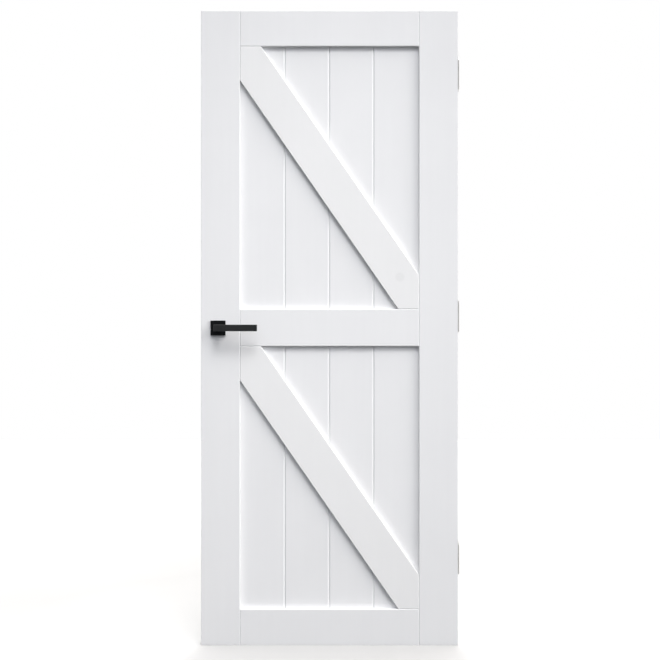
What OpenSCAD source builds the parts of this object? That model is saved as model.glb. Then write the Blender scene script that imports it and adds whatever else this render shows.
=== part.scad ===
// Interior door leaf of the ledged and braced kind, with lever handle, latch and butt hinges.
// +X points to the hinge side, -Y is the front face, +Z is up, in millimetres.
// The origin is the middle of the leaf's bottom edge, halfway through its thickness.

/* [Leaf] */
// Width of the leaf
leaf_w = 826; // [626:50:926]
// Height of the leaf
leaf_h = 2040; // [1940:20:2140]
// Thickness of the leaf
leaf_t = 40; // [38:1:44]
// Width of the chamfer along each joint and around the openings
arris = 2; // [0.5:0.25:2.5]
// Width of the eased edge around the outside of the leaf
edge_ease = 1; // [0.5:0.25:1.5]

/* [Stiles and rails] */
// Width of the two upright stiles
stile_w = 125; // [121:1:140]
// Height of the top rail
top_rail_h = 114; // [100:1:140]
// Height of the middle rail
mid_rail_h = 120; // [104:1:150]
// Height of the middle rail's centre line above the leaf's bottom edge
mid_rail_z = 1021; // [960:1:1080]
// Height of the bottom rail
bottom_rail_h = 116; // [100:1:200]
// Depth of the groove that holds the boards
groove_d = 10; // [8:1:12]
// Radius of the dowels in the corner joints
dowel_r = 4; // [3.5:0.5:4.5]
// Length of a dowel inside the stile
dowel_in_stile = 34; // [26:1:36]
// Length of a dowel inside the rail
dowel_in_rail = 66; // [40:1:80]

/* [Boards and braces] */
// Thickness of the tongued boards
board_t = 12; // [10:1:16]
// Distance from one board joint to the next
board_pitch = 143; // [110:1:146]
// Place of the middle board joint, counted from the leaf's middle towards the hinges
board_shift = -1.5; // [-6:0.5:6]
// Width of the chamfer on each side of a board joint
board_v = 4; // [2:0.5:4.5]
// Depth of that chamfer
board_v_depth = 2.5; // [1.5:0.5:3]
// Thickness of the tongue between two boards
tongue_t = 3.6; // [3:0.2:4.2]
// Length of the tongue between two boards
tongue_l = 5; // [3:0.5:7]
// Length of a brace's seat along the rail
brace_seat_rail = 67.5; // [50:0.5:90]
// Length of a brace's seat along the stile
brace_seat_stile = 110; // [80:1:140]

/* [Handle] */
// Height of the lever's axis above the leaf's bottom edge
handle_z = 1020; // [1000:1:1040]
// Distance from the leaf's edge to the lever's axis
backset = 55; // [50:1:58]
// Reach of the lever from its axis to its tip
lever_reach = 128; // [105:1:145]
// Height of the lever's bar
lever_h = 21; // [18:0.5:24]
// Thickness of the lever's bar
lever_t = 11; // [8:0.5:14]
// Distance from the leaf's face to the front of the lever's bar
lever_projection = 58; // [50:1:66]
// Width of the lever's square neck
neck_w = 20; // [18:0.5:22]
// Side of the square rose
rose_w = 48; // [48:0.5:56]
// Thickness of the rose
rose_t = 8; // [7.5:0.5:11]
// Width of the chamfer on the handle's edges
handle_edge = 1; // [0.5:0.1:1.5]
// Side of the square spindle
spindle_w = 8; // [7:0.5:8]
// Distance from the lever's axis to each of the rose's two bolts
rose_bolt_x = 19; // [18.6:0.1:19]

/* [Latch] */
// Length of the latch's faceplate
faceplate_l = 170; // [150:5:200]
// Width of the latch's faceplate
faceplate_w = 20; // [18:1:22]
// Thickness of the latch's faceplate
faceplate_t = 3; // [2:0.5:3.5]
// Thickness of the latch's case
case_t = 14; // [14:0.5:16]
// Thickness of the case's sheet
case_wall = 1.5; // [1:0.25:1.5]
// Travel of the latch bolt
bolt_throw = 11; // [9:0.5:11]
// Height of the case below the lever's axis
case_below = 32; // [32:1:36]
// Height of the case above the lever's axis
case_above = 50; // [46:1:56]
// Length of the faceplate's screws
latch_screw_l = 25; // [20:1:30]

/* [Hinges] */
// Length of a hinge
hinge_l = 100; // [90:5:120]
// Thickness of a hinge's plates
hinge_t = 2.5; // [2:0.5:3]
// Gap between the leaf's edge and the frame side
hinge_gap = 2.5; // [2:0.5:3]
// Outer radius of a hinge's knuckle
knuckle_r = 6; // [5.5:0.5:7]
// Distance from the top of the leaf to the top of the top hinge
hinge_drop = 150; // [120:5:200]
// Distance from the bottom of the leaf to the bottom of the bottom hinge
hinge_rise = 225; // [150:5:260]
// Distance from the front face to the edge of a hinge's plate
hinge_cover = 8; // [6:1:10]
// Length of the hinges' screws
hinge_screw_l = 32; // [25:1:40]

/* [Hidden] */
$fn = 64;

// Colours of the materials
white_paint = [0.90, 0.905, 0.915];
black_metal = [0.06, 0.06, 0.065];
bare_steel = [0.62, 0.62, 0.63];
zinc = [0.55, 0.56, 0.58];
beech = [0.72, 0.56, 0.38];
magnet_grey = [0.35, 0.35, 0.37];

// Outlines of the leaf
edge_x = leaf_w / 2;
face_y = leaf_t / 2;
inner_x = edge_x - stile_w;
board_y = board_t / 2;
seat_d = groove_d - 1;
top_z0 = leaf_h - top_rail_h;
mid_z0 = mid_rail_z - mid_rail_h / 2;
mid_z1 = mid_rail_z + mid_rail_h / 2;
fit = 0.05;
slack = 0.15;
cut = 1;
end_ease = edge_ease * 0.8;
brace_arris = arris * 0.8;
brace_spare = 20;

// Centres of the solid part of each rail, where the dowels sit
dowel_step = 26;
dowel_zs = [
  for (c = [
    leaf_h - (top_rail_h - groove_d) / 2,
    mid_rail_z,
    (bottom_rail_h - groove_d) / 2
  ], s = [-1, 1]) c + s * dowel_step
];

// Axis of the lever and edge of the leaf on the lock side
lock_x = -edge_x;
spin_x = lock_x + backset;
spin_z = handle_z;

// Holes that the lock stile has for the handle
spindle_room_r = 11;
rose_bolt_room_r = 3.8;

// Screws: point, and the cross in the head as [depth, width]
screw_point = 4;
screw_point_r = 0.5;
screw_cross = [1.3, 0.9];
latch_screw_r = 2;
latch_head_r = 3.9;
latch_head_d = 1.9;
hinge_screw_r = 2.2;
hinge_head_r = 4.25;
hinge_head_d = 1.45;
pilot_spare = 1;

// Latch case
case_reach = 26;
case_room = [1, 0.3, 0.5];
case_bolt_room_r = 3.6;
case_x0 = lock_x + faceplate_t;
case_x1 = spin_x + case_reach;
case_z0 = spin_z - case_below;
case_z1 = spin_z + case_above;
case_y = case_t / 2;
room_y = case_y - case_wall;
faceplate_z = spin_z + (case_above - case_below) / 2;
faceplate_screw_z = faceplate_l / 2 - 10;
faceplate_screw_room_r = 2.1;
hub_r = 9;
hub_gap = 0.2;
journal_r = 7;
square_gap = 0.05;

// The follower's upper arm reaches the retractor, its lower arm meets the spring and the stop
turn_max = 45;
arm_r = bolt_throw / sin(turn_max);
arm_tip_r = 2.5;
tail_arm_r = 13;
tab_gap = 0.6;
tab_x0 = spin_x + arm_tip_r + tab_gap;
tab_t = 2;
tab_w = 5;
tab_z0 = spin_z + hub_r + 1.2;
tab_z1 = spin_z + arm_r + arm_tip_r + 2;
arm_y = 3.5;
arm_gap = 1.4;
stop_x = spin_x + arm_tip_r + fit * 2;
stop_t = 3.4;
stop_drop = 4;
stop_gap = 2;

// Bolt
bolt_rise = 30;
bolt_z = spin_z + bolt_rise;
bolt_h = 16;
bolt_t = 9;
bolt_l = 36;
bolt_ease = 0.6;
bolt_gap = 0.3;
magnet_l = 4;
magnet_t = 6;
magnet_h = 10;
tail_h = 8;
tail_t = 3;
tail_x1 = spin_x + 6;
bolt_pin_x = spin_x + 2;
bolt_pin_r = 2;
plate_t = 2;
plate_h = 14;
plate_over = 6;
plate_gap = 0.1;
plate_y1 = room_y - plate_gap;
plate_y0 = plate_y1 - plate_t;

// Spring of the follower
wire_r = 0.6;
coil_r = 3.8;
spring_leg_x = spin_x - arm_tip_r - fit * 2 - wire_r;
post_x = spring_leg_x - coil_r;
post_z = case_z0 + case_wall + coil_r + wire_r + fit * 2;
post_r = 3;
post_end_gap = 0.5;
coil_ys = [-1.1, 0];
spring_tail = 15;

// Handle
neck_gap = 0.6;
neck_y0 = face_y + rose_t + neck_gap;
lever_y1 = face_y + lever_projection;
collar_r = 8;
collar_gap = 0.4;
collar_in = 0.5;
rose_wall = 1.2;
rose_root = 5;
base_gap = 0.1;
base_t = rose_t - 3;
sleeve_r = 3.35;
sleeve_end_y = 6;
flange_r = 3.6;
flange_t = 1;
rose_bolt_r = 2;
bolt_head_r = 3.5;
bolt_head_t = 1.6;
bolt_key_r = 1.3;
bolt_key_d = 1.2;
spindle_short = 7;
spindle_end_gap = 0.5;
spindle_half = lever_y1 - lever_t - spindle_short;
set_screw_y = face_y + 25;
set_screw_r = 2.5;
set_screw_in = 0.6;
set_key_r = 1.4;
set_key_d = 2;

// Hinges
hinge_x = edge_x + hinge_gap / 2;
hinge_y = face_y + knuckle_r + 0.5;
plate_round = 6;
pin_r = 2.97;
bore_r = pin_r + fit;
knuckles = 5;
knuckle_gap = 0.4;
pin_head_r = knuckle_r - 0.4;
pin_head_t = 1.6;
pin_crown_r = knuckle_r - 2;
pin_crown_t = 1.4;
hinge_z0s = [
  leaf_h - hinge_drop - hinge_l,
  (leaf_h - hinge_drop + hinge_rise) / 2 - hinge_l / 2,
  hinge_rise
];
plate_edge_y = -face_y + hinge_cover;
outer_row = hinge_l * 0.36;
inner_row = hinge_l * 0.16;
near_y = plate_edge_y + 21;
far_y = plate_edge_y + 9;
// Each hole is [height from the hinge's middle, place across the plate]
frame_holes = [[outer_row, near_y], [-outer_row, near_y], [inner_row, far_y], [-inner_row, far_y]];
door_holes = [[outer_row, far_y], [-outer_row, far_y], [inner_row, near_y], [-inner_row, near_y]];
hinge_hole_r = 2.6;
sink_r = hinge_head_r + slack;
sink_d = hinge_head_d + fit;

module along_x(x0, x1) {
  translate([x0, 0, 0]) rotate([90, 0, 90]) linear_extrude(height = x1 - x0) children();
}

module along_y(y0, y1) {
  translate([0, y1, 0]) rotate([90, 0, 0]) linear_extrude(height = y1 - y0) children();
}

module along_z(z0, z1) {
  translate([0, 0, z0]) linear_extrude(height = z1 - z0) children();
}

module box(lo, hi) {
  translate(lo) cube(hi - lo);
}

// Rectangle with cut corners
function cut_rect(a0, a1, b0, b1, c) = [
  [a0 + c, b0], [a1 - c, b0], [a1, b0 + c], [a1, b1 - c],
  [a1 - c, b1], [a0 + c, b1], [a0, b1 - c], [a0, b0 + c]
];

// Box with a chamfer on all its edges
module soft_box(lo, hi, c) {
  intersection() {
    along_z(lo[2], hi[2]) polygon(cut_rect(lo[0], hi[0], lo[1], hi[1], c));
    along_y(lo[1], hi[1]) polygon(cut_rect(lo[0], hi[0], lo[2], hi[2], c));
    along_x(lo[0], hi[0]) polygon(cut_rect(lo[1], hi[1], lo[2], hi[2], c));
  }
}

// Round bar along the depth of the leaf
module rod_y(x, z, r, y0, y1) {
  translate([x, y1, z]) rotate([90, 0, 0]) cylinder(r = r, h = y1 - y0);
}

// Outline of the lock stile, seen from above, with its groove on the inner side
function stile_outline() = [
  [-edge_x + edge_ease, -face_y], [-inner_x - arris, -face_y], [-inner_x, -face_y + arris],
  [-inner_x, -board_y], [-inner_x - groove_d, -board_y],
  [-inner_x - groove_d, board_y], [-inner_x, board_y],
  [-inner_x, face_y - arris], [-inner_x - arris, face_y],
  [-edge_x + edge_ease, face_y], [-edge_x, face_y - edge_ease], [-edge_x, -face_y + edge_ease]
];

// Stile with eased ends, before its holes are cut
module stile_blank() {
  intersection() {
    along_z(0, leaf_h) polygon(stile_outline());
    along_x(-edge_x - cut, -inner_x + cut) polygon(cut_rect(-face_y, face_y, 0, leaf_h, end_ease));
  }
}

// Outline of a rail, seen from above, with a tongue at each end for the stiles' grooves
function rail_plan() = [
  [-inner_x + arris, -face_y], [inner_x - arris, -face_y], [inner_x, -face_y + arris],
  [inner_x, -board_y], [inner_x + seat_d, -board_y],
  [inner_x + seat_d, board_y], [inner_x, board_y],
  [inner_x, face_y - arris], [inner_x - arris, face_y],
  [-inner_x + arris, face_y], [-inner_x, face_y - arris],
  [-inner_x, board_y], [-inner_x - seat_d, board_y],
  [-inner_x - seat_d, -board_y], [-inner_x, -board_y], [-inner_x, -face_y + arris]
];

// Cross-section of a rail, with a groove in its lower or upper edge or in both
function rail_section(z0, z1, low, high) = let (
  c0 = low ? arris : end_ease,
  c1 = high ? arris : end_ease
) concat(
  low ? [[-board_y, z0], [-board_y, z0 + groove_d], [board_y, z0 + groove_d], [board_y, z0]] : [],
  [[face_y - c0, z0], [face_y, z0 + c0], [face_y, z1 - c1], [face_y - c1, z1]],
  high ? [[board_y, z1], [board_y, z1 - groove_d], [-board_y, z1 - groove_d], [-board_y, z1]] : [],
  [[-face_y + c1, z1], [-face_y, z1 - c1], [-face_y, z0 + c0], [-face_y + c0, z0]]
);

module dowels(r, extra) {
  for (s = [-1, 1], z = dowel_zs) {
    translate([s * (inner_x + (dowel_in_stile - dowel_in_rail) / 2), 0, z])
      rotate([0, 90, 0])
        cylinder(r = r, h = dowel_in_stile + dowel_in_rail + extra * 2, center = true);
  }
}

module rail_dowels() {
  color(beech) dowels(dowel_r, 0);
}

// Countersunk screw along +X with its head's face at x = 0
module screw(head_r, head_d, shank_r, l) {
  difference() {
    union() {
      rotate([0, 90, 0]) cylinder(r1 = head_r, r2 = shank_r, h = head_d, $fn = 32);
      translate([head_d, 0, 0]) rotate([0, 90, 0])
        cylinder(r = shank_r, h = l - head_d - screw_point, $fn = 32);
      translate([l - screw_point, 0, 0]) rotate([0, 90, 0])
        cylinder(r1 = shank_r, r2 = screw_point_r, h = screw_point, $fn = 32);
    }
    for (a = [0, 90]) {
      rotate([a, 0, 0])
        cube([screw_cross[0] * 2, head_r * 1.1, screw_cross[1]], center = true);
    }
  }
}

// Room for such a screw, with a countersink of its own
module screw_room(head_r, head_d, shank_r, l) {
  rotate([0, 90, 0]) cylinder(r1 = head_r, r2 = shank_r, h = head_d, $fn = 32);
  translate([head_d - 0.01, 0, 0]) rotate([0, 90, 0]) cylinder(r = shank_r, h = l, $fn = 32);
}

// Places the children at both faceplate screws
module at_latch_screws() {
  for (s = [-1, 1]) {
    translate([lock_x, 0, faceplate_z + s * faceplate_screw_z]) children();
  }
}

module latch_screws() {
  color(bare_steel) at_latch_screws()
    screw(latch_head_r, latch_head_d, latch_screw_r, latch_screw_l);
}

// Long plate with round ends
module faceplate_shape(w, l, t) {
  along_x(lock_x, lock_x + t) union() {
    translate([-w / 2, faceplate_z - l / 2 + w / 2]) square([w, l - w]);
    translate([0, faceplate_z - l / 2 + w / 2]) circle(r = w / 2);
    translate([0, faceplate_z + l / 2 - w / 2]) circle(r = w / 2);
  }
}

module lock_stile() {
  color(white_paint) difference() {
    stile_blank();
    faceplate_shape(faceplate_w + slack * 2, faceplate_l + slack * 2, faceplate_t);
    box([case_x0, -case_y, case_z0] - case_room, [case_x1, case_y, case_z1] + case_room);
    at_latch_screws() translate([faceplate_t - cut, 0, 0]) rotate([0, 90, 0])
      cylinder(r = latch_screw_r + fit, h = latch_screw_l - faceplate_t + cut + pilot_spare);
    rod_y(spin_x, spin_z, spindle_room_r, -face_y - cut, face_y + cut);
    at_rose_bolts() rod_y(0, 0, rose_bolt_room_r, -face_y - cut, face_y + cut);
    dowels(dowel_r + fit, cut);
  }
}

module hinge_stile() {
  color(white_paint) difference() {
    mirror([1, 0, 0]) stile_blank();
    for (z0 = hinge_z0s) {
      along_x(edge_x - hinge_t, edge_x + cut)
        plate_shape(plate_edge_y - slack, face_y + cut, z0 - slack, z0 + hinge_l + slack);
      at_hinge_holes(z0, door_holes) translate([hinge_t - cut, 0, 0]) rotate([0, 90, 0])
        cylinder(r = hinge_screw_r + fit, h = hinge_screw_l - hinge_t + cut + pilot_spare);
    }
    dowels(dowel_r + fit, cut);
  }
}

module rail(z0, z1, low, high) {
  color(white_paint) difference() {
    intersection() {
      along_x(-edge_x, edge_x) polygon(rail_section(z0, z1, low, high));
      along_z(z0 - cut, z1 + cut) polygon(rail_plan());
    }
    dowels(dowel_r + fit, cut);
  }
}

module top_rail() {
  rail(top_z0, leaf_h, true, false);
}

module mid_rail() {
  rail(mid_z0, mid_z1, true, true);
}

module bottom_rail() {
  rail(0, bottom_rail_h, false, true);
}

// Left and right sides of a board with a chamfered joint; the groove has room round the tongue
function groove_side(x) = [
  [x + board_v, board_y], [x, board_y - board_v_depth],
  [x, tongue_t / 2 + fit * 2], [x + tongue_l + cut, tongue_t / 2 + fit * 2],
  [x + tongue_l + cut, -tongue_t / 2 - fit * 2], [x, -tongue_t / 2 - fit * 2],
  [x, -board_y + board_v_depth], [x + board_v, -board_y]
];
function tongue_side(x) = [
  [x - board_v, -board_y], [x, -board_y + board_v_depth],
  [x, -tongue_t / 2], [x + tongue_l, -tongue_t / 2],
  [x + tongue_l, tongue_t / 2], [x, tongue_t / 2],
  [x, board_y - board_v_depth], [x - board_v, board_y]
];
board_xs = [
  -inner_x - seat_d,
  board_shift - board_pitch, board_shift, board_shift + board_pitch,
  inner_x + seat_d
];

// One of the four boards between two heights, counted from the lock side
module board(i, z0, z1) {
  a = board_xs[i - 1];
  b = board_xs[i];
  left = i == 1 ? [[a, board_y], [a, -board_y]] : groove_side(a);
  right = i == 4 ? [[b, -board_y], [b, board_y]] : tongue_side(b);
  color(white_paint) along_z(z0 - seat_d, z1 + seat_d) polygon(concat(left, right));
}

module upper_board(i) {
  board(i, mid_z1, top_z0);
}

module lower_board(i) {
  board(i, bottom_rail_h, mid_z0);
}

// Diagonal brace from the upper corner on the lock side to the lower corner on the hinge side
module brace(z0, z1) {
  across = inner_x * 2 - brace_seat_rail;
  down = z1 - z0 - brace_seat_stile;
  angle = atan2(down, across);
  w = brace_seat_rail * sin(angle) + brace_seat_stile * cos(angle);
  reach = norm([inner_x * 2, z1 - z0]) + brace_spare;
  color(white_paint) intersection() {
    translate([0, 0, (z0 + z1) / 2]) rotate([0, angle, 0])
      along_x(-reach / 2, reach / 2) polygon([
        [-face_y, -w / 2 + brace_arris], [-face_y, w / 2 - brace_arris],
        [-face_y + brace_arris, w / 2], [-board_y, w / 2],
        [-board_y, -w / 2], [-face_y + brace_arris, -w / 2]
      ]);
    along_z(z0, z1) polygon([
      [-inner_x + arris, -face_y], [inner_x - arris, -face_y], [inner_x, -face_y + arris],
      [inner_x, -board_y], [-inner_x, -board_y], [-inner_x, -face_y + arris]
    ]);
    along_x(-inner_x, inner_x) polygon([
      [-face_y, z0 + arris], [-face_y, z1 - arris], [-face_y + arris, z1],
      [-board_y, z1], [-board_y, z0], [-face_y + arris, z0]
    ]);
  }
}

module upper_front_brace() {
  brace(mid_z1, top_z0);
}

module upper_back_brace() {
  mirror([0, 1, 0]) brace(mid_z1, top_z0);
}

module lower_front_brace() {
  brace(bottom_rail_h, mid_z0);
}

module lower_back_brace() {
  mirror([0, 1, 0]) brace(bottom_rail_h, mid_z0);
}

module at_rose_bolts() {
  for (s = [-1, 1]) {
    translate([spin_x + s * rose_bolt_x, 0, spin_z]) children();
  }
}

// Room for the bolt in the faceplate and in the case
module bolt_window(x0, x1) {
  box([x0, -bolt_t / 2 - bolt_gap, bolt_z - bolt_h / 2 - bolt_gap],
      [x1, bolt_t / 2 + bolt_gap, bolt_z + bolt_h / 2 + bolt_gap]);
}

module latch_case() {
  color(zinc) {
    difference() {
      box([case_x0, -case_y, case_z0], [case_x1, room_y, case_z1]);
      box([case_x0 + case_wall, -room_y, case_z0 + case_wall],
          [case_x1 - case_wall, case_y, case_z1 - case_wall]);
      bolt_window(case_x0 - cut, case_x0 + case_wall + cut);
      rod_y(spin_x, spin_z, journal_r + fit, -case_y - cut, 0);
      at_rose_bolts() rod_y(0, 0, case_bolt_room_r, -case_y - cut, 0);
    }
    rod_y(post_x, post_z, post_r, -room_y - post_end_gap, room_y - post_end_gap);
    box([stop_x, -room_y - post_end_gap, spin_z - tail_arm_r - stop_drop],
        [stop_x + stop_t, room_y - cut, spin_z - hub_r - stop_gap]);
  }
}

module latch_cover() {
  color(zinc) difference() {
    box([case_x0, room_y, case_z0], [case_x1, case_y, case_z1]);
    rod_y(spin_x, spin_z, journal_r + fit, 0, case_y + cut);
    at_rose_bolts() rod_y(0, 0, case_bolt_room_r, 0, case_y + cut);
  }
}

module latch_faceplate() {
  color(bare_steel) difference() {
    faceplate_shape(faceplate_w, faceplate_l, faceplate_t);
    bolt_window(lock_x - cut, lock_x + faceplate_t + cut);
    at_latch_screws() translate([-0.01, 0, 0]) screw_room(
      latch_head_r + slack, latch_head_d + fit, faceplate_screw_room_r, faceplate_t + cut);
  }
}

// Square room for the spindle
module spindle_room(y0, y1) {
  half = spindle_w / 2 + square_gap;
  box([spin_x - half, y0, spin_z - half], [spin_x + half, y1, spin_z + half]);
}

module latch_follower() {
  color(zinc) difference() {
    union() {
      rod_y(spin_x, spin_z, hub_r, -room_y + hub_gap, room_y - hub_gap);
      rod_y(spin_x, spin_z, journal_r, -case_y, case_y);
      along_y(-arm_y, plate_y0 - arm_gap) union() {
        translate([spin_x - arm_tip_r, spin_z - tail_arm_r])
          square([arm_tip_r * 2, tail_arm_r + arm_r]);
        translate([spin_x, spin_z + arm_r]) circle(r = arm_tip_r);
        translate([spin_x, spin_z - tail_arm_r]) circle(r = arm_tip_r);
      }
    }
    spindle_room(-case_y - cut, case_y + cut);
  }
}

module follower_spring() {
  color(bare_steel) {
    for (y = coil_ys) {
      translate([post_x, y, post_z]) rotate([90, 0, 0])
        rotate_extrude($fn = 48) translate([coil_r, 0]) circle(r = wire_r, $fn = 16);
    }
    translate([spring_leg_x, 0, post_z])
      cylinder(r = wire_r, h = spin_z - hub_r - stop_gap - post_z, $fn = 16);
    translate([post_x - spring_tail, coil_ys[0], post_z - coil_r])
      rotate([0, 90, 0]) cylinder(r = wire_r, h = spring_tail, $fn = 16);
  }
}

// Slotted plate that the follower pushes back and that draws the bolt in with it
module latch_retractor() {
  slot_x0 = bolt_pin_x - bolt_throw - fit * 2;
  slot_l = bolt_throw + fit * 4;
  slot_r = bolt_pin_r + fit;
  color(zinc) {
    difference() {
      union() {
        box([slot_x0 - plate_over, plate_y0, bolt_z - plate_h / 2],
            [bolt_pin_x + plate_over, plate_y1, bolt_z + plate_h / 2]);
        box([tab_x0, plate_y0, tab_z0], [tab_x0 + tab_w, plate_y1, bolt_z]);
      }
      along_y(plate_y0 - cut, plate_y1 + cut) union() {
        translate([slot_x0, bolt_z - slot_r]) square([slot_l, slot_r * 2]);
        translate([slot_x0, bolt_z]) circle(r = slot_r);
        translate([slot_x0 + slot_l, bolt_z]) circle(r = slot_r);
      }
    }
    box([tab_x0, -arm_y, tab_z0], [tab_x0 + tab_t, plate_y0 + plate_t / 4, tab_z1]);
  }
}

module latch_bolt() {
  color(bare_steel) difference() {
    union() {
      soft_box([lock_x, -bolt_t / 2, bolt_z - bolt_h / 2],
               [lock_x + bolt_l, bolt_t / 2, bolt_z + bolt_h / 2], bolt_ease);
      box([lock_x + bolt_l - cut, -tail_t / 2, bolt_z - tail_h / 2],
          [tail_x1, tail_t / 2, bolt_z + tail_h / 2]);
      rod_y(bolt_pin_x, bolt_z, bolt_pin_r, 0, plate_y1 - plate_gap);
    }
    box([lock_x - cut, -magnet_t / 2, bolt_z - magnet_h / 2],
        [lock_x + magnet_l, magnet_t / 2, bolt_z + magnet_h / 2]);
  }
}

module bolt_magnet() {
  color(magnet_grey) box([lock_x, -magnet_t / 2 + fit, bolt_z - magnet_h / 2 + fit],
                         [lock_x + magnet_l, magnet_t / 2 - fit, bolt_z + magnet_h / 2 - fit]);
}

// Front half of the handle set; the back half is its mirror image
module rose() {
  color(black_metal) difference() {
    soft_box([spin_x - rose_w / 2, -face_y - rose_t, spin_z - rose_w / 2],
             [spin_x + rose_w / 2, -face_y + rose_root, spin_z + rose_w / 2], handle_edge);
    box([spin_x - rose_w, -face_y, spin_z - rose_w], [spin_x + rose_w, face_y, spin_z + rose_w]);
    box([spin_x - rose_w / 2 + rose_wall, -face_y - rose_t + rose_wall, spin_z - rose_w / 2 + rose_wall],
        [spin_x + rose_w / 2 - rose_wall, face_y, spin_z + rose_w / 2 - rose_wall]);
    rod_y(spin_x, spin_z, collar_r + collar_gap, -face_y - rose_t - cut, face_y);
  }
}

module rose_base(bolt_hole_r) {
  w = rose_w / 2 - rose_wall - base_gap;
  color(zinc) difference() {
    box([spin_x - w, -face_y - base_t, spin_z - w], [spin_x + w, -face_y, spin_z + w]);
    rod_y(spin_x, spin_z, collar_r + fit, -face_y - base_t - cut, face_y);
    at_rose_bolts() rod_y(0, 0, bolt_hole_r, -face_y - base_t - cut, face_y);
  }
}

module front_rose() {
  rose();
}

module back_rose() {
  mirror([0, 1, 0]) rose();
}

module front_rose_base() {
  rose_base(sleeve_r + fit);
}

module back_rose_base() {
  mirror([0, 1, 0]) rose_base(rose_bolt_r + fit);
}

// Sleeves from the front, each with a flange that rests on the front base
module rose_sleeves() {
  color(bare_steel) at_rose_bolts() difference() {
    union() {
      rod_y(0, 0, sleeve_r, -face_y - base_t, sleeve_end_y);
      rod_y(0, 0, flange_r, -face_y - base_t - flange_t, -face_y - base_t);
    }
    rod_y(0, 0, rose_bolt_r + fit, -face_y - cut, sleeve_end_y + cut);
  }
}

module rose_bolts() {
  head_y = face_y + base_t;
  color(bare_steel) at_rose_bolts() difference() {
    union() {
      rod_y(0, 0, rose_bolt_r, -face_y, head_y);
      rod_y(0, 0, bolt_head_r, head_y, head_y + bolt_head_t);
    }
    rod_y(0, 0, bolt_key_r, head_y + bolt_head_t - bolt_key_d, head_y + bolt_head_t + cut, $fn = 6);
  }
}

module lever() {
  color(black_metal) difference() {
    union() {
      soft_box([spin_x - neck_w / 2, -lever_y1, spin_z - lever_h / 2],
               [spin_x + lever_reach, -lever_y1 + lever_t, spin_z + lever_h / 2], handle_edge);
      soft_box([spin_x - neck_w / 2, -lever_y1 + handle_edge * 2, spin_z - lever_h / 2],
               [spin_x + neck_w / 2, -neck_y0, spin_z + lever_h / 2], handle_edge);
      rod_y(spin_x, spin_z, collar_r, -neck_y0 - cut, -face_y - collar_in);
    }
    spindle_room(-spindle_half - spindle_end_gap, 0);
    translate([spin_x, -set_screw_y, spin_z - lever_h / 2 - cut])
      cylinder(r = set_screw_r + fit, h = lever_h / 2 + cut);
  }
}

module front_lever() {
  lever();
}

module back_lever() {
  mirror([0, 1, 0]) lever();
}

module lever_spindle() {
  color(bare_steel) box([spin_x - spindle_w / 2, -spindle_half, spin_z - spindle_w / 2],
                        [spin_x + spindle_w / 2, spindle_half, spin_z + spindle_w / 2]);
}

module lever_set_screws() {
  color(black_metal) for (s = [-1, 1]) {
    translate([spin_x, s * set_screw_y, spin_z - lever_h / 2 + set_screw_in]) difference() {
      cylinder(r = set_screw_r, h = lever_h / 2 - spindle_w / 2 - set_screw_in);
      translate([0, 0, -cut]) cylinder(r = set_key_r, h = set_key_d + cut, $fn = 6);
    }
  }
}

// Plate with two round corners on its low side
module plate_shape(y0, y1, z0, z1) {
  r = plate_round;
  translate([y0 + r, z0]) square([y1 - y0 - r, z1 - z0]);
  translate([y0, z0 + r]) square([r + cut, z1 - z0 - r * 2]);
  translate([y0 + r, z0 + r]) circle(r = r);
  translate([y0 + r, z1 - r]) circle(r = r);
}

// Places the children at a hinge's screw holes, pointing into the stile
module at_hinge_holes(z0, holes) {
  for (h = holes) {
    translate([edge_x, h[1], z0 + hinge_l / 2 + h[0]]) mirror([1, 0, 0]) children();
  }
}

// Half of a hinge: its plate and the knuckles listed in turns, counted from below
module hinge_half(z0, turns, holes) {
  step = hinge_l / knuckles;
  difference() {
    union() {
      along_x(edge_x - hinge_t, edge_x)
        plate_shape(plate_edge_y, face_y, z0, z0 + hinge_l);
      for (i = turns) {
        a = z0 + i * step + (i == 0 ? 0 : knuckle_gap / 2);
        b = z0 + (i + 1) * step - (i == knuckles - 1 ? 0 : knuckle_gap / 2);
        box([edge_x - hinge_t, face_y - cut, a], [edge_x, hinge_y, b]);
        translate([hinge_x, hinge_y, a]) cylinder(r = knuckle_r, h = b - a);
      }
    }
    translate([hinge_x, hinge_y, z0 - cut]) cylinder(r = bore_r, h = hinge_l + cut * 2);
    at_hinge_holes(z0, holes) translate([-0.01, 0, 0])
      screw_room(sink_r, sink_d, hinge_hole_r, hinge_t + cut);
  }
}

module hinge_door_leaf(i) {
  color(bare_steel) hinge_half(hinge_z0s[i], [1, 3], door_holes);
}

module hinge_frame_leaf(i) {
  color(bare_steel) translate([hinge_x * 2, 0, 0]) mirror([1, 0, 0])
    hinge_half(hinge_z0s[i], [0, 2, 4], frame_holes);
}

module hinge_pin(i) {
  z0 = hinge_z0s[i];
  color(bare_steel) translate([hinge_x, hinge_y, z0]) {
    cylinder(r = pin_r, h = hinge_l);
    for (s = [0, 1]) {
      translate([0, 0, s * hinge_l]) mirror([0, 0, 1 - s]) {
        cylinder(r = pin_head_r, h = pin_head_t);
        translate([0, 0, pin_head_t]) cylinder(r1 = pin_head_r, r2 = pin_crown_r, h = pin_crown_t);
      }
    }
  }
}

module hinge_screws() {
  color(bare_steel) for (z0 = hinge_z0s) {
    at_hinge_holes(z0, door_holes)
      screw(hinge_head_r, hinge_head_d, hinge_screw_r, hinge_screw_l);
  }
}

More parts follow.
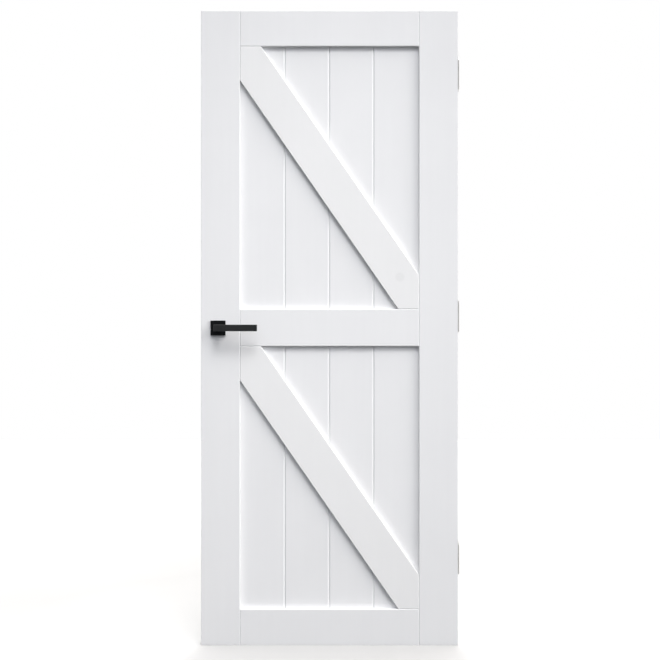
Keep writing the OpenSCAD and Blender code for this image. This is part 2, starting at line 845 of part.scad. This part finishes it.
lock_stile();
hinge_stile();
top_rail();
mid_rail();
bottom_rail();
upper_board(1);  // upper_board_1
upper_board(2);  // upper_board_2
upper_board(3);  // upper_board_3
upper_board(4);  // upper_board_4
lower_board(1);  // lower_board_1
lower_board(2);  // lower_board_2
lower_board(3);  // lower_board_3
lower_board(4);  // lower_board_4
upper_front_brace();
upper_back_brace();
lower_front_brace();
lower_back_brace();
rail_dowels();
latch_case();
latch_cover();
latch_faceplate();
latch_screws();
latch_retractor();
latch_bolt();
bolt_magnet();
latch_follower();
follower_spring();
front_rose();
back_rose();
front_rose_base();
back_rose_base();
rose_bolts();
rose_sleeves();
front_lever();
back_lever();
lever_spindle();
lever_set_screws();
hinge_door_leaf(0);  // top_hinge_door_leaf
hinge_door_leaf(1);  // middle_hinge_door_leaf
hinge_door_leaf(2);  // bottom_hinge_door_leaf
hinge_frame_leaf(0);  // top_hinge_frame_leaf
hinge_frame_leaf(1);  // middle_hinge_frame_leaf
hinge_frame_leaf(2);  // bottom_hinge_frame_leaf
hinge_pin(0);  // top_hinge_pin
hinge_pin(1);  // middle_hinge_pin
hinge_pin(2);  // bottom_hinge_pin
hinge_screws();
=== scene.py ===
import math

import bpy
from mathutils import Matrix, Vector


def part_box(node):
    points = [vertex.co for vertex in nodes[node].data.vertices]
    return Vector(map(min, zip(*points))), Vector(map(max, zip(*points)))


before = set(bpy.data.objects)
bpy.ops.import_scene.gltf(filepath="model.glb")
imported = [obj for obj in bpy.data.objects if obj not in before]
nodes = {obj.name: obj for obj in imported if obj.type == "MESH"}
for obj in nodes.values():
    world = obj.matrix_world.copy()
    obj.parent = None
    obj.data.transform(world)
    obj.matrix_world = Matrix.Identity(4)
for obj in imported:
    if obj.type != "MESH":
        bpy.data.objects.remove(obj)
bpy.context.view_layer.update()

scene = bpy.context.scene
scene.view_settings.view_transform = "Standard"

# Metres, in the frame of the part: +X to the hinge side, -Y out of the front, +Z up
FACE_Y = -0.020


# Camera: level, and square to the front of the leaf

CAMERA_DISTANCE = 3.8
FIELD = 2.1226  # side of the picture, measured on the leaf's face
CENTRE = Vector((0.0016, FACE_Y, 1.0136))
SENSOR = 36

cam_data = bpy.data.cameras.new("camera")
cam_data.sensor_width = SENSOR
cam_data.lens = SENSOR * CAMERA_DISTANCE / FIELD
cam = bpy.data.objects.new("camera", cam_data)
scene.collection.objects.link(cam)
cam.location = CENTRE + Vector((0, -CAMERA_DISTANCE, 0))
cam.rotation_euler = (math.radians(90), 0, 0)
scene.camera = cam


# Node trees

class Graph:
    """A node tree with short names for the steps that it takes."""

    def __init__(self, tree):
        self.tree = tree
        self.tree.nodes.clear()

    def add(self, kind, **values):
        n = self.tree.nodes.new(kind)
        for k, v in values.items():
            setattr(n, k, v)
        return n

    def put(self, value, socket):
        """Links an output to a socket, or sets the socket to a number or a colour."""
        if isinstance(value, bpy.types.NodeSocket):
            self.tree.links.new(value, socket)
        elif isinstance(value, tuple):
            socket.default_value = (*value, 1)
        else:
            socket.default_value = value

    def math(self, kind, a, b=0.0):
        n = self.add("ShaderNodeMath", operation=kind)
        self.put(a, n.inputs[0])
        self.put(b, n.inputs[1])
        return n.outputs[0]

    def vector(self, kind, a, b=None):
        """A sum on vectors whose result is a number."""
        n = self.add("ShaderNodeVectorMath", operation=kind)
        self.put(a, n.inputs[0])
        if b is not None:
            n.inputs[1].default_value = b
        return n.outputs["Value"]

    def blend(self, fac, a, b):
        n = self.add("ShaderNodeMix", data_type="RGBA")
        self.put(fac, n.inputs["Factor"])
        for socket, colour in zip([i for i in n.inputs if i.type == "RGBA"], (a, b)):
            self.put(colour, socket)
        return [o for o in n.outputs if o.type == "RGBA"][0]


# Light: a lamp high in front of the leaf, one high behind it, and a soft dome

LAMP_PLACES = {"front_key": (0.2, -2.4, 4.1), "back_key": (0.2, 2.4, 4.1)}
LAMP_TARGET = (0, 0, 0.7)
LAMP_SIZE = 1.5
LAMP_WATTS = 5.2
LAMP_SPREAD = 45

for name, place in LAMP_PLACES.items():
    data = bpy.data.lights.new(name, "AREA")
    data.shape = "DISK"
    data.size = LAMP_SIZE
    data.energy = LAMP_WATTS
    data.spread = math.radians(LAMP_SPREAD)
    lamp = bpy.data.objects.new(name, data)
    scene.collection.objects.link(lamp)
    lamp.location = place
    aim = Vector(LAMP_TARGET) - Vector(place)
    lamp.rotation_euler = aim.to_track_quat("-Z", "Y").to_euler()

# Each lobe of the dome is a direction, how narrow it is, and its strength: two for the
# front, one for the back, and one for the edge with the latch.
DOME_LOBES = [
    ((0.55, -1.0, 1.5), 3.125, 2.36),
    ((2.124, -1.0, 0.879), 30.0, 6.80),
    ((0.0, 1.0, 1.2), 4.0, 2.90),
    ((-1.0, 0.3, 0.3), 30.0, 3.60),
]
DOME_REST = 0.065
# The dome is warmer towards the upper right, cooler away from it, and white at the back.
WARM_SIDE = (0.5, 0.0, 0.87)
LOW_COLOUR = (0.88, 0.96, 1.11)
HIGH_COLOUR = (1.055, 1.0, 0.93)
WHITE_SIDE = (-0.6, 0.8, 0.0)
WHITE_GAIN = 2.0
BACK_COLOUR = (1.0, 1.0, 1.0)

world = bpy.data.worlds.new("studio")
scene.world = world
world.use_nodes = True
dome = Graph(world.node_tree)
ray = dome.add("ShaderNodeTexCoord").outputs["Generated"]


def towards(direction):
    """How far the ray points in a direction, from 0 to 1."""
    return dome.math("MAXIMUM", dome.vector("DOT_PRODUCT", ray, Vector(direction).normalized()))


strength = DOME_REST
for direction, power, lobe in DOME_LOBES:
    share = dome.math("POWER", towards(direction), power)
    strength = dome.math("ADD", dome.math("MULTIPLY", share, lobe), strength)
tint = dome.blend(towards(WARM_SIDE), LOW_COLOUR, HIGH_COLOUR)
behind = dome.math("MINIMUM", dome.math("MULTIPLY", towards(WHITE_SIDE), WHITE_GAIN), 1.0)

soft = dome.add("ShaderNodeBackground")
dome.put(strength, soft.inputs["Strength"])
dome.put(dome.blend(behind, tint, BACK_COLOUR), soft.inputs["Color"])
seen = dome.add("ShaderNodeBackground")
dome.put(BACK_COLOUR, seen.inputs["Color"])
dome.put(1.0, seen.inputs["Strength"])

path = dome.add("ShaderNodeLightPath").outputs
shown = path["Is Camera Ray"]
for kind in ("Is Transmission Ray", "Is Glossy Ray"):
    shown = dome.math("MAXIMUM", shown, path[kind])
mix = dome.add("ShaderNodeMixShader")
for value, socket in zip((shown, soft.outputs[0], seen.outputs[0]), mix.inputs):
    dome.put(value, socket)
dome.put(mix.outputs[0], dome.add("ShaderNodeOutputWorld").inputs["Surface"])


# Materials

class Mat(Graph):
    """A material of one Principled shader. Its patterns follow the node's own metres."""

    def __init__(self, name):
        self.mat = bpy.data.materials.new(name)
        self.mat.use_nodes = True
        super().__init__(self.mat.node_tree)
        self.shader = self.add("ShaderNodeBsdfPrincipled")
        self.put(self.shader.outputs[0], self.add("ShaderNodeOutputMaterial").inputs["Surface"])
        coord = self.add("ShaderNodeTexCoord").outputs
        self.coord, self.normal = coord["Object"], coord["Normal"]

    def set(self, **values):
        for k, v in values.items():
            self.put(v, self.shader.inputs[k.replace("_", " ")])

    def mapped(self, scale, turn=(0, 0, 0)):
        n = self.add("ShaderNodeMapping")
        n.inputs["Scale"].default_value = scale
        n.inputs["Rotation"].default_value = turn
        self.put(self.coord, n.inputs["Vector"])
        return n.outputs[0]

    def noise(self, vector, scale=1.0, detail=2.0, rough=0.5):
        n = self.add("ShaderNodeTexNoise")
        self.put(vector, n.inputs["Vector"])
        self.put(scale, n.inputs["Scale"])
        self.put(detail, n.inputs["Detail"])
        self.put(rough, n.inputs["Roughness"])
        return n.outputs["Fac"]

    def span(self, value, lo, hi, a=0.0, b=1.0):
        """Takes lo to a and hi to b, in a straight line between them and level beyond."""
        n = self.add("ShaderNodeMapRange")
        self.put(value, n.inputs["Value"])
        self.put(lo, n.inputs["From Min"])
        self.put(hi, n.inputs["From Max"])
        self.put(a, n.inputs["To Min"])
        self.put(b, n.inputs["To Max"])
        return n.outputs[0]

    def spread(self, noise, a=0.0, b=1.0):
        """Takes a noise, which mostly stays between 0.3 and 0.7, to the whole of a to b."""
        return self.span(noise, 0.3, 0.7, a, b)

    def share(self, a, b, part):
        """A mix of two noises that has a part of a and the rest of b."""
        return self.math("ADD", self.math("MULTIPLY", a, part), self.math("MULTIPLY", b, 1 - part))

    def bump(self, height, distance, strength=0.5, after=None):
        n = self.add("ShaderNodeBump")
        self.put(distance, n.inputs["Distance"])
        self.put(strength, n.inputs["Strength"])
        self.put(height, n.inputs["Height"])
        if after is not None:
            self.put(after, n.inputs["Normal"])
        return n.outputs[0]


# Each paint goes from its darker tone to its lighter one
PAINT_WHITE = ((0.786, 0.789, 0.797), (0.812, 0.815, 0.822))
BRACE_WHITE = ((0.800, 0.801, 0.802), (0.824, 0.825, 0.826))
GRAIN_SCALE = (60, 60, 2.2)
MARK_GREY = (0.68, 0.68, 0.68)
MARK_DEPTH = 0.3
MARK_FULL, MARK_GONE = 0.75, 1.15  # shares of the mark's radius between which it fades


def painted(name, white, turn=(0, 0, 0), mark=None):
    """Satin white paint over timber. The grain under it runs along Z, turned by turn. The
    mark is a faint round spot, as (place, radius)."""
    m = Mat(name)
    grain = m.noise(m.mapped(GRAIN_SCALE, turn), detail=4.0, rough=0.6)
    cloud = m.noise(m.coord, scale=5.0, detail=3.0)
    colour = m.blend(m.spread(m.share(grain, cloud, part=0.35)), *white)
    if mark:
        place, radius = mark
        away = m.vector("DISTANCE", m.coord, place)
        inside = m.span(away, radius * MARK_FULL, radius * MARK_GONE, MARK_DEPTH, 0.0)
        colour = m.blend(inside, colour, MARK_GREY)
    peel = m.bump(m.noise(m.coord, scale=620.0), distance=0.00005)
    m.set(Base_Color=colour,
          Roughness=m.spread(m.noise(m.coord, scale=38.0, detail=3.0), 0.36, 0.46),
          Normal=m.bump(grain, distance=0.00025, strength=0.25, after=peel),
          IOR=1.48)
    return m.mat


# How square to an axis a face is, where the painted highlight along an edge is full and where it
# ends
EDGE_HIGHLIGHT_FULL, EDGE_HIGHLIGHT_ENDS = 0.78, 0.94


def powder_coat(name, low, high, edge_highlight_colour, gloss):
    """Fine black powder coat, with a painted highlight: a little lighter along its eased edges."""
    m = Mat(name)
    wide = m.noise(m.coord, scale=60.0, detail=3.0)
    split = m.add("ShaderNodeSeparateXYZ")
    m.put(m.normal, split.inputs[0])
    x, y, z = (m.math("ABSOLUTE", o) for o in split.outputs)
    square = m.math("MAXIMUM", m.math("MAXIMUM", x, y), z)
    # Painted highlight: faces that are not square to an axis, the eased edges, take the lighter
    # edge colour
    edge_highlight_mask = m.span(square, EDGE_HIGHLIGHT_FULL, EDGE_HIGHLIGHT_ENDS, 1.0, 0.0)
    m.set(Base_Color=m.blend(edge_highlight_mask, m.blend(m.spread(wide), low, high), edge_highlight_colour),
          Roughness=m.spread(wide, 0.40, 0.50),
          Normal=m.bump(m.noise(m.coord, scale=1900.0), distance=0.00004, strength=0.6),
          IOR=1.4, Specular_IOR_Level=gloss)
    return m.mat


STREAK_SHADE = 0.9
CLOUD_ROUGH = 0.03


def steel(name, colour, along, rough):
    """Brushed metal. Its streaks follow the axis that has the low number in along, and rough
    is the pair between which they vary."""
    m = Mat(name)
    streak = m.noise(m.mapped(along), detail=3.0, rough=0.65)
    cloud = m.noise(m.coord, scale=90.0)
    darker = tuple(c * STREAK_SHADE for c in colour)
    m.set(Base_Color=m.blend(m.spread(streak), darker, colour),
          Roughness=m.math("ADD", m.spread(streak, *rough),
                           m.spread(cloud, -CLOUD_ROUGH, CLOUD_ROUGH)),
          Normal=m.bump(streak, distance=0.00002),
          Metallic=1.0)
    return m.mat


def zinc_plate(name):
    """Plated steel with the fine grain of its zinc."""
    m = Mat(name)
    cell = m.add("ShaderNodeTexVoronoi")
    cell.inputs["Scale"].default_value = 420.0
    m.put(m.coord, cell.inputs["Vector"])
    grain = cell.outputs["Distance"]
    m.set(Base_Color=m.blend(grain, (0.50, 0.52, 0.55), (0.60, 0.61, 0.62)),
          Roughness=m.span(grain, 0.0, 1.0, 0.34, 0.48),
          Normal=m.bump(m.noise(m.coord, scale=700.0), distance=0.00003),
          Metallic=1.0)
    return m.mat


def bare_wood(name):
    """Beech with its fibres along X."""
    m = Mat(name)
    ring = m.noise(m.mapped((14, 420, 420)), detail=4.0, rough=0.6)
    fleck = m.noise(m.mapped((160, 2400, 2400)))
    tone = m.share(ring, fleck, part=0.7)
    m.set(Base_Color=m.blend(m.spread(tone), (0.42, 0.24, 0.12), (0.60, 0.40, 0.22)),
          Roughness=m.spread(tone, 0.55, 0.7),
          Normal=m.bump(tone, distance=0.0001))
    return m.mat


def ground_magnet(name):
    """Dark sintered metal, ground flat."""
    m = Mat(name)
    grit = m.noise(m.coord, scale=1500.0)
    m.set(Base_Color=m.blend(grit, (0.10, 0.10, 0.105), (0.17, 0.17, 0.175)),
          Roughness=m.spread(grit, 0.3, 0.45),
          Normal=m.bump(grit, distance=0.00002),
          Metallic=0.9)
    return m.mat


# The braces' grain runs along them. Their seats on rail and stile are as in the part.
SEAT_RAIL, SEAT_STILE = 0.0675, 0.110
brace_lo, brace_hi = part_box("upper_front_brace")
rise = brace_hi.z - brace_lo.z - SEAT_STILE
run = brace_hi.x - brace_lo.x - SEAT_RAIL
along_rail = (0, math.pi / 2, 0)
along_brace = (0, math.pi / 2 - math.atan2(rise, run), 0)
brace_mark = (Vector((0.2265, FACE_Y, 1.184)), 0.015)  # place and radius

upright_paint = painted("paint_upright", PAINT_WHITE)
level_paint = painted("paint_level", PAINT_WHITE, along_rail)
brace_paint = painted("paint_brace", BRACE_WHITE, along_brace)
marked_paint = painted("paint_brace_marked", BRACE_WHITE, along_brace, brace_mark)
# The rose and the lever are one powder coat: the rose's colour is darkened as painted shade, and
# the lever's is lightened as painted light
rose_black_painted_shade = powder_coat("black_powder_coat_rose_painted_shade", low=(0.0035, 0.0045, 0.0050),
                         high=(0.0060, 0.0070, 0.0075), edge_highlight_colour=(0.016, 0.017, 0.017), gloss=0.08)
lever_black_painted_light = powder_coat("black_powder_coat_lever_painted_light", low=(0.0143, 0.0156, 0.0160),
                          high=(0.0183, 0.0198, 0.0200), edge_highlight_colour=(0.060, 0.061, 0.059), gloss=0.16)
plate_steel = steel("brushed_steel", (0.66, 0.655, 0.64),
                    along=(900, 900, 12), rough=(0.25, 0.38))
round_steel = steel("brushed_steel_round", (0.64, 0.635, 0.62),
                    along=(900, 12, 900), rough=(0.21, 0.34))
zinc = zinc_plate("zinc_plate")

LOOKS = {
    "rail_dowels": bare_wood("bare_beech"),
    "bolt_magnet": ground_magnet("magnet"),
    "upper_front_brace": marked_paint,
    "lever_set_screws": lever_black_painted_light,
    **dict.fromkeys(("front_rose", "back_rose"), rose_black_painted_shade),
    **dict.fromkeys(("latch_case", "latch_cover", "latch_retractor", "latch_follower",
                     "front_rose_base", "back_rose_base"), zinc),
    **dict.fromkeys(("rose_bolts", "rose_sleeves", "lever_spindle", "latch_bolt"), round_steel),
}
LOOKS_BY_WORD = {"_stile": upright_paint, "_board_": upright_paint, "_rail": level_paint,
                 "_brace": brace_paint, "_lever": lever_black_painted_light}


def look_of(node):
    """The node's own look, or that of a word in its name, or else the plate steel."""
    by_word = (look for word, look in LOOKS_BY_WORD.items() if word in node)
    return LOOKS.get(node) or next(by_word, plate_steel)


for name, obj in nodes.items():
    obj.data.materials.clear()
    obj.data.materials.append(look_of(name))


# Stage

FLOOR_SIZE = 14
FLOOR_LIT = (0.05, 0.05, 0.05)
FLOOR_SEEN = ((0.52, 0.52, 0.52), (0.545, 0.545, 0.545))
FLOOR_GLOW = 0.3
GLOW_STARTS, GLOW_FULL = 1.2, 3.0


def white_ground(name):
    """Floor that looks white with the object's shadow on it, and throws little light back.
    Where the lamps fade, far from the object, it glows a little to stay white."""
    m = Mat(name)
    path = m.add("ShaderNodeLightPath").outputs
    shown = m.math("MAXIMUM", path["Is Camera Ray"], path["Is Glossy Ray"])
    away = m.vector("LENGTH", m.coord)
    glow = m.span(away, GLOW_STARTS, GLOW_FULL, 0.0, FLOOR_GLOW)
    white = m.blend(m.noise(m.coord, scale=3.0), *FLOOR_SEEN)
    m.set(Base_Color=m.blend(shown, FLOOR_LIT, white),
          Roughness=0.9, Specular_IOR_Level=0.1,
          Emission_Color=(1, 1, 1), Emission_Strength=m.math("MULTIPLY", shown, glow))
    return m.mat


bpy.ops.mesh.primitive_plane_add(size=FLOOR_SIZE, location=(0, 0, 0))
floor = bpy.context.object
floor.name = "floor"
floor.data.materials.append(white_ground("white_ground"))
